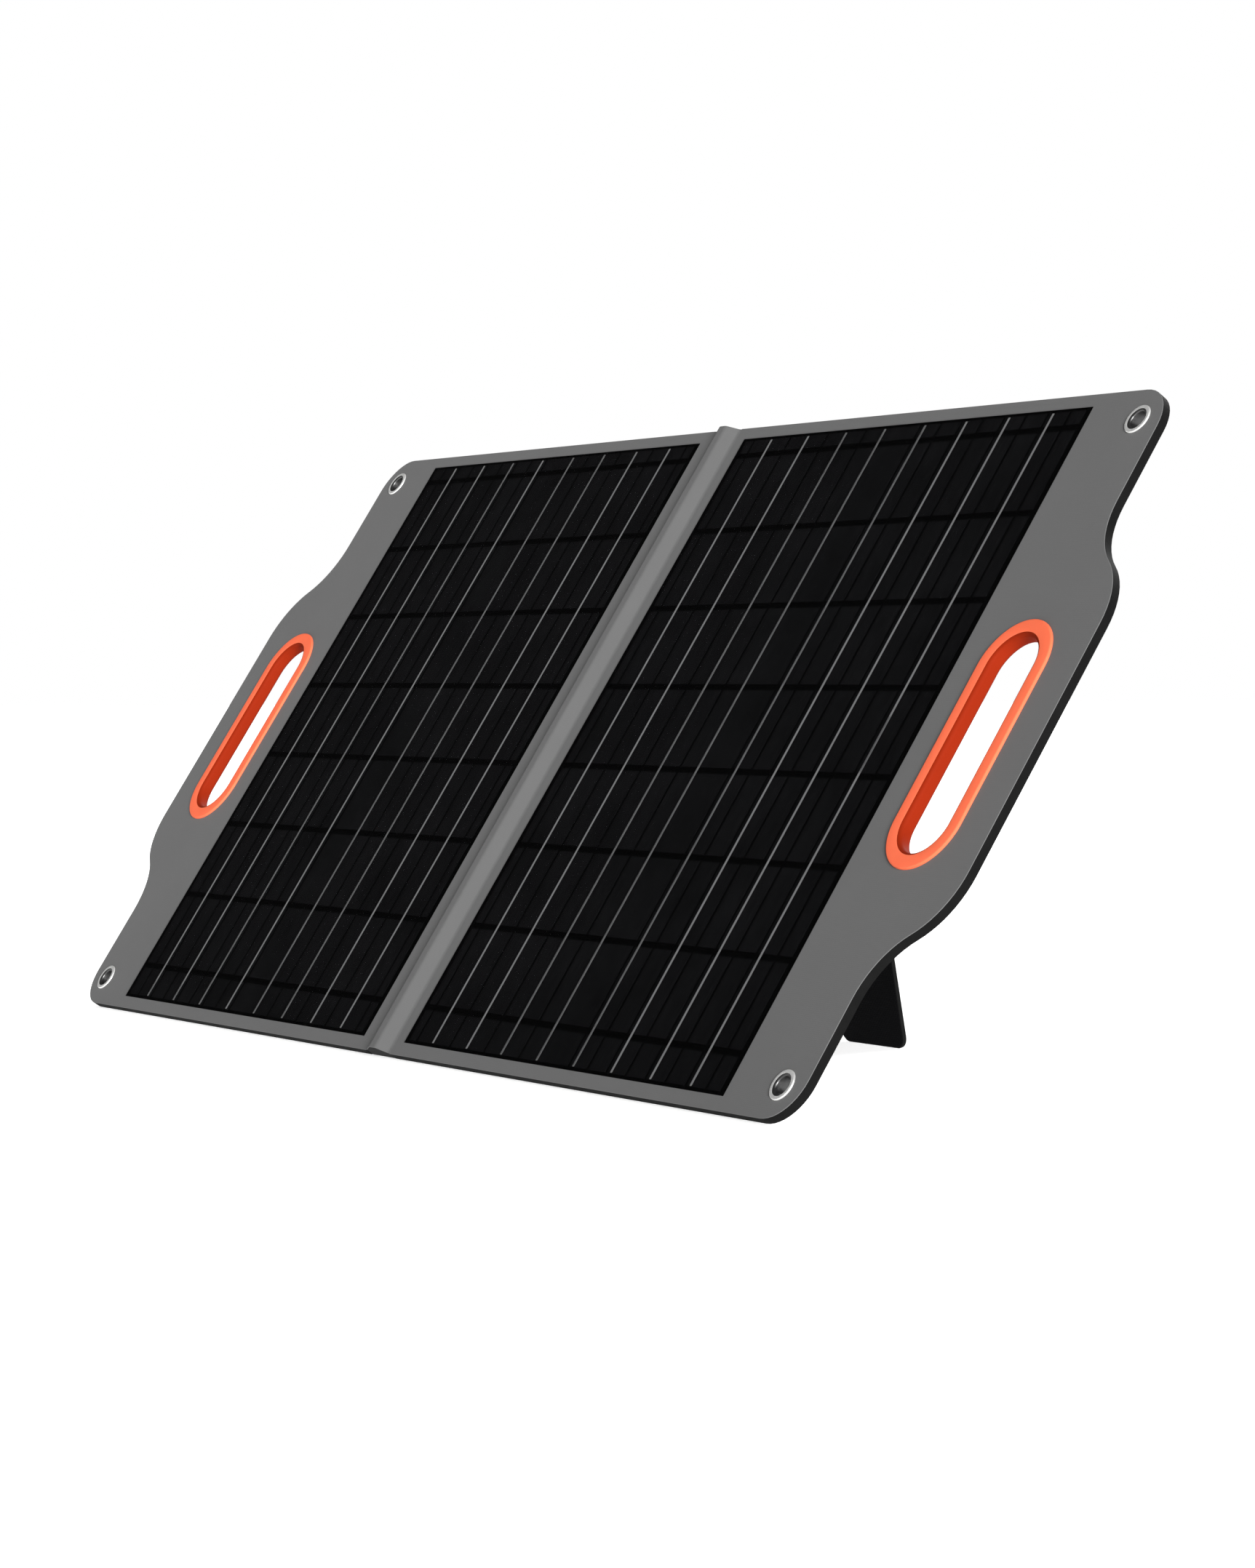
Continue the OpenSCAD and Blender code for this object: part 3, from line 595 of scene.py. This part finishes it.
def eyelet_pair(side):
    """Two rolled eyelets and their washers, each turned from one outline. The rim falls to the hole as a
    funnel, and the barrel is flared over the washer at the back."""
    eyelets, washers = f"{side}_eyelets", f"{side}_eyelet_washers"
    hole_r = next(m for m in frame["record"]["mounts"] if "eyelet" in m["name"])["dims"]["r_mm"] * MM
    left, right = span(eyelets, ACROSS)
    rim_r = (right - left) / 2
    crest_r = hole_r + 0.65 * (rim_r - hole_r)
    barrel_r = hole_r + BARREL_T
    flare_r = hole_r + 2.2 * BARREL_T
    low, rim_h = level(eyelets, 0), level(eyelets, 1)
    middles = [Vector(((left + right) / 2, along(eyelets, 0) + rim_r, 0)),
               Vector(((left + right) / 2, along(eyelets, 1) - rim_r, 0))]

    def down_the_hole(point):
        """True on the funnel and the barrel, which get a darker plating as painted shade down the hole."""
        return min(math.hypot(point.x - m.x, point.y - m.y) for m in middles) < crest_r - 1.2 * MM

    def turned_pair(name, outline, rounded, node):
        """The same outline, turned round the middle of both eyelets."""
        bm = profile(outline, rounded)
        lathe(bm, 56)
        grown = bmesh.ops.duplicate(bm, geom=bm.verts[:] + bm.edges[:] + bm.faces[:])["geom"]
        twin = [g for g in grown if isinstance(g, bmesh.types.BMVert)]
        bmesh.ops.translate(bm, vec=middles[1] - middles[0], verts=twin)
        bmesh.ops.translate(bm, vec=middles[0], verts=bm.verts)
        piece = make(name, bm, PANEL, nickel, 30, nickel_painted_shade, down_the_hole)
        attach(piece, f"{side}_half")
        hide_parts(node)

    rolled = [(hole_r, low), (hole_r, 0.1 * MM), (crest_r - 0.9 * MM, rim_h), (rim_r, rim_h), (rim_r, 0),
              (barrel_r, 0), (barrel_r, low + FLARE_T), (flare_r, low + FLARE_T), (flare_r, low)]
    turned_pair(f"{side}_eyelets_rolled", rolled,
                [(1, 0.8 * MM), (2, 0.5 * MM), (3, 0.9 * MM), (8, 0.4 * MM)], eyelets)
    washer_r = barrel_r + WASHER_GAP
    washer_low, washer_high = level(washers, 0), level(washers, 1)
    domed = [(washer_r, washer_low), (rim_r, washer_low), (rim_r, washer_high), (washer_r, washer_high)]
    turned_pair(f"{side}_eyelet_washers_domed", domed, [(1, 0.6 * MM)], washers)


for side in SIDES:
    eyelet_pair(side)

# --------------------------------------------------------------------------------------------------
# Spine: a padded ridge across the fold
# --------------------------------------------------------------------------------------------------

RIDGE_H = level("spine_ridge", 1)
RIDGE_CROWN = 2.5 * MM
RIDGE_CLOTH_T = 0.6 * MM
FOAM_GAP = 0.02 * MM
SPINE_LOW, SPINE_HIGH = along("spine_padding", 0), along("spine_padding", 1)
RIGHT_EDGE = span("right_core_board", ACROSS)[0]
SPINE_W = RIGHT_EDGE + SPINE_HALF
SPINE_MIDDLE = (SPINE_LOW + SPINE_HIGH) / 2
SPINE = PANEL @ Matrix.Translation(((RIGHT_EDGE - SPINE_HALF) / 2, SPINE_MIDDLE, 0))


def eased_ramp(share, ease):
    """A straight ramp from 0 to 1 whose two ends are rounded."""
    share = max(0.0, min(1.0, share))
    if share < ease:
        reached = share ** 2 / (2 * ease)
    elif share > 1 - ease:
        reached = 1 - ease - (1 - share) ** 2 / (2 * ease)
    else:
        reached = share - ease / 2
    return reached / (1 - ease)


def ridge_level(x, y):
    """The ridge rises on two even flanks to a narrow crown."""
    foot = SPINE_W / 2
    return RIDGE_H * eased_ramp((foot - abs(x)) / (foot - RIDGE_CROWN), 0.22)


def under_ridge(x, y):
    """The inside of the ridge cloth."""
    return ridge_level(x, y) - RIDGE_CLOTH_T


def spine_piece(name, front, back, finish, slot, *nodes):
    """A strip of the spine between two levels, which runs across the fold from board to board."""
    bm = sheet_between(SPINE_W, SPINE_HIGH - SPINE_LOW, 56, 24, front, back)
    piece = make(name, bm, SPINE, finish, 50)
    map_cloth(piece)
    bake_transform(piece)
    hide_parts(*nodes)
    return piece


STRIP_FRONT = level("left_back_cover", 1)
spine_piece("spine_ridge_cloth", ridge_level, under_ridge, front_cloth_bent, "grey_fabric", "spine_ridge")
spine_foam = spine_piece("spine_foam", lambda x, y: under_ridge(x, y) - FOAM_GAP,
                         lambda x, y: STRIP_FRONT + FOAM_GAP, foam, "padding", "spine_padding", "spine_lead")
spine_piece("spine_back_cloth", lambda x, y: STRIP_FRONT, lambda x, y: BACK, back_cloth_bent,
            "black_fabric", "spine_back")

# --------------------------------------------------------------------------------------------------
# Stands: the cloth they hang from, and the straps that stop them
# --------------------------------------------------------------------------------------------------

STAND_T = 4 * MM
FLAP_T = 0.8 * MM
FLAP_LAP = 34 * MM
FLAP_SIDE = 1 * MM
FLAP_SEAM = 4 * MM
FLAP_GAP = 0.05 * MM
STRAP_T = 1.0 * MM
STRAP_REACH = 270 * MM
STRAP_TAB = 28 * MM
STRAP_SAG = 3 * MM


def stand_frame(side):
    """Frame of an open stand: the fold line is its X axis, and the stand hangs along its -Y."""
    hinge = Vector(joints[f"{side}_stand_hinge"]["pos_m"])
    return Matrix.Translation(hinge) @ directions(STAND_ANGLE)


def stand_point(side, y, z):
    """A point of an open stand, in the stand's own frame, as (height, level) on the panel."""
    there = PANEL.inverted() @ stand_frame(side) @ Vector((0, y, z))
    return Vector((there.y, there.z))


def bezier(points, share):
    """Point on a cubic curve through the first and last of four points."""
    a, b, c, d = points
    rest = 1 - share
    return a * rest ** 3 + b * 3 * rest ** 2 * share + c * 3 * rest * share ** 2 + d * share ** 3


def band_along(path, width, thick, columns):
    """A closed band of cloth along a path of (height, level) points on the panel, and its flat length.
    Y of its cloth map is the length along it."""
    total = sum((b - a).length for a, b in zip(path, path[1:]))
    rows = len(path) - 1
    bm = sheet_between(width, total, columns, rows, lambda x, y: thick / 2, lambda x, y: -thick / 2)
    cloth_map = bm.loops.layers.uv.new("cloth")
    for face in bm.faces:
        for loop in face.loops:
            loop[cloth_map].uv = (loop.vert.co.x, loop.vert.co.y)
    for v in bm.verts:
        index = min(rows, max(0, round((v.co.y + total / 2) / total * rows)))
        before, after = path[max(0, index - 1)], path[min(rows, index + 1)]
        ahead = (after - before).normalized()
        spot = path[index] + Vector((-ahead.y, ahead.x)) * v.co.z
        v.co = Vector((v.co.x, spot.x, spot.y))
    return bm, total


def hang_stand(side):
    """The flap a stand hangs from: sewn to the back of the panel, round the fold line and down the stand."""
    left, right = span(f"{side}_stand_board", ACROSS)
    centre, stand_w = (left + right) / 2, right - left
    flap_w = stand_w - 2 * FLAP_SIDE
    here = PANEL @ Matrix.Translation((centre, 0, 0))
    on_stand = -STAND_T / 2 - FLAP_T / 2 - FLAP_GAP
    top = Vector((along(f"{side}_stand_tape", 1), BACK - FLAP_T / 2))
    leave = Vector((stand_point(side, 0, 0).x + 5 * MM, BACK - FLAP_T / 2))
    meet = stand_point(side, -8 * MM, on_stand)
    foot = stand_point(side, -FLAP_LAP, on_stand)
    down_panel = Vector((-1, 0))
    down_stand = (foot - meet).normalized()
    bend = (leave, leave + down_panel * 6 * MM, meet - down_stand * 5 * MM, meet)
    path = [top.lerp(leave, i / 6) for i in range(6)]
    path += [bezier(bend, i / 14) for i in range(15)]
    path += [meet.lerp(foot, i / 6) for i in range(1, 7)]
    bm, flap_length = band_along(path, flap_w, FLAP_T, 24)
    flap = make(f"{side}_stand_flap", bm, here, back_cloth_bent, 40)
    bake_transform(flap)
    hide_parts(f"{side}_stand_tape")

    seam_half_w = flap_w / 2 - FLAP_SEAM
    sew(f"{side}_flap_stitches", here, f"{side}_half", seam_half_w, leave.x + FLAP_SEAM,
        top.x - FLAP_SEAM, BACK - FLAP_T)
    stand = stand_frame(side)
    stand_middle = stand @ Matrix.Translation((centre - stand.translation.x, 0, 0))
    sew(f"{side}_stand_stitches", stand_middle, f"{side}_stand", seam_half_w, -FLAP_LAP + FLAP_SEAM,
        -FLAP_LAP + 5 * FLAP_SEAM, -STAND_T / 2 - FLAP_T - FLAP_GAP)


def stay_strap(side):
    """The strap that stops a stand: a sewn tab on the panel, a slack run and a tab down the stand."""
    left, right = span(f"{side}_stand_board", ACROSS)
    strap_left, strap_right = span(f"{side}_stay_strap", ACROSS)
    here = PANEL @ Matrix.Translation(((left + right) / 2, 0, 0))
    strap_w = strap_right - strap_left
    a = Vector((stand_point(side, 0, 0).x - STRAP_REACH, BACK - STRAP_T / 2))
    b = stand_point(side, -STRAP_REACH, STAND_T / 2 + STRAP_T / 2)
    up = Vector((1, 0))
    down_stand = (stand_point(side, -1, 0) - stand_point(side, 0, 0)).normalized()
    chord = (b - a).normalized()
    sag = Vector((-STRAP_SAG, 0))
    turn_in = (a, a - up * 4 * MM, a + chord * 6 * MM, a + chord * 14 * MM)
    turn_out = (b - chord * 14 * MM, b - chord * 6 * MM, b - down_stand * 4 * MM, b)
    path = [(a + up * STRAP_TAB).lerp(a, i / 5) for i in range(5)]
    path += [bezier(turn_in, i / 8) for i in range(8)]
    path += [turn_in[3].lerp(turn_out[0], i / 24) + sag * math.sin(math.pi * i / 24) for i in range(24)]
    path += [bezier(turn_out, i / 8) for i in range(9)]
    path += [b + down_stand * STRAP_TAB * i / 5 for i in range(1, 6)]
    bm, _ = band_along(path, strap_w, STRAP_T, 6)
    strap = make(f"{side}_stay_webbing", bm, here, webbing, 40)
    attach(strap, f"{side}_half")
    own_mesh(strap)
    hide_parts(f"{side}_stay_strap")
    sew(f"{side}_strap_stitches", here, f"{side}_half", strap_w / 2 - 2.5 * MM, a.x + 4 * MM,
        a.x + STRAP_TAB - 3 * MM, BACK - STRAP_T, cross=True)


for side in SIDES:
    hang_stand(side)
    stay_strap(side)

# --------------------------------------------------------------------------------------------------
# Controller
# --------------------------------------------------------------------------------------------------

dress("controller_base", 0.5 * MM)
dress("controller_lid", 0.6 * MM, 3)
dress("port_cover", 0.6 * MM, 3)
dress("dc_outlet", 0.4 * MM, 3)

# --------------------------------------------------------------------------------------------------
# Camera, light and floor
# --------------------------------------------------------------------------------------------------

VIEW_AZIMUTH = math.radians(58.78)
VIEW_ELEVATION = math.radians(1.57)
CAMERA_PLACE = PANEL.translation + Vector((2.5242, -1.3201, 0.26985))
FLOOR_HALF = 30

camera_data = bpy.data.cameras.new("camera")
camera_data.lens = 91.3
camera_data.sensor_width = 36
camera_data.clip_end = 100
camera = bpy.data.objects.new("camera", camera_data)
backwards = Vector((math.sin(VIEW_AZIMUTH) * math.cos(VIEW_ELEVATION),
                    -math.cos(VIEW_AZIMUTH) * math.cos(VIEW_ELEVATION), math.sin(VIEW_ELEVATION)))
camera.location = CAMERA_PLACE
camera.rotation_euler = backwards.to_track_quat("Z", "Y").to_euler()
bpy.context.scene.collection.objects.link(camera)
bpy.context.scene.camera = camera


def soft_sun(name, towards, strength, spread):
    """A distant soft box in the given direction, which lights near and far alike."""
    data = bpy.data.lights.new(name, "SUN")
    data.energy = strength
    data.angle = math.radians(spread)
    light = bpy.data.objects.new(name, data)
    light.rotation_euler = Vector(towards).to_track_quat("Z", "Y").to_euler()
    bpy.context.scene.collection.objects.link(light)


soft_sun("key", (0.93, -0.31, 0.20), 6.2, 24)
soft_sun("back", (-0.35, 0.8, 0.5), 2.6, 40)

floor_bm = bmesh.new()
bmesh.ops.create_grid(floor_bm, x_segments=2, y_segments=2, size=FLOOR_HALF)
floor_mesh = bpy.data.meshes.new("floor")
floor_bm.to_mesh(floor_mesh)
floor_bm.free()
floor = bpy.data.objects.new("floor", floor_mesh)
# Matt white paint that glows faintly, so that the floor stays as pale as the studio behind it
floor_material, floor_tree = start_material("matt_white_floor")
end_material(floor_tree, "#F6F6F6", Roughness=0.9, Specular_IOR_Level=0.0,
             Emission_Color=colour("#FFFFFF"), Emission_Strength=0.55)
floor_material.cycles.emission_sampling = "NONE"
floor_mesh.materials.append(floor_material)
bpy.context.scene.collection.objects.link(floor)

# The studio is white to the eye, but lights the panel only a little, so that its blacks stay deep
world = bpy.data.worlds.new("studio")
bpy.context.scene.world = world
world.use_nodes = True
world.node_tree.nodes.clear()
ray = add(world.node_tree, "ShaderNodeLightPath")
seen = add(world.node_tree, "ShaderNodeBackground", {"Color": colour("#FFFFFF"), "Strength": 1.0})
lit = add(world.node_tree, "ShaderNodeBackground", {"Color": colour("#FFFFFF"), "Strength": 0.12})
mixed = add(world.node_tree, "ShaderNodeMixShader", {0: ray.outputs["Is Camera Ray"], 1: lit.outputs[0],
                                                     2: seen.outputs[0]})
add(world.node_tree, "ShaderNodeOutputWorld", {"Surface": mixed.outputs[0]})
bpy.context.scene.view_settings.view_transform = "Standard"

bpy.context.view_layer.update()
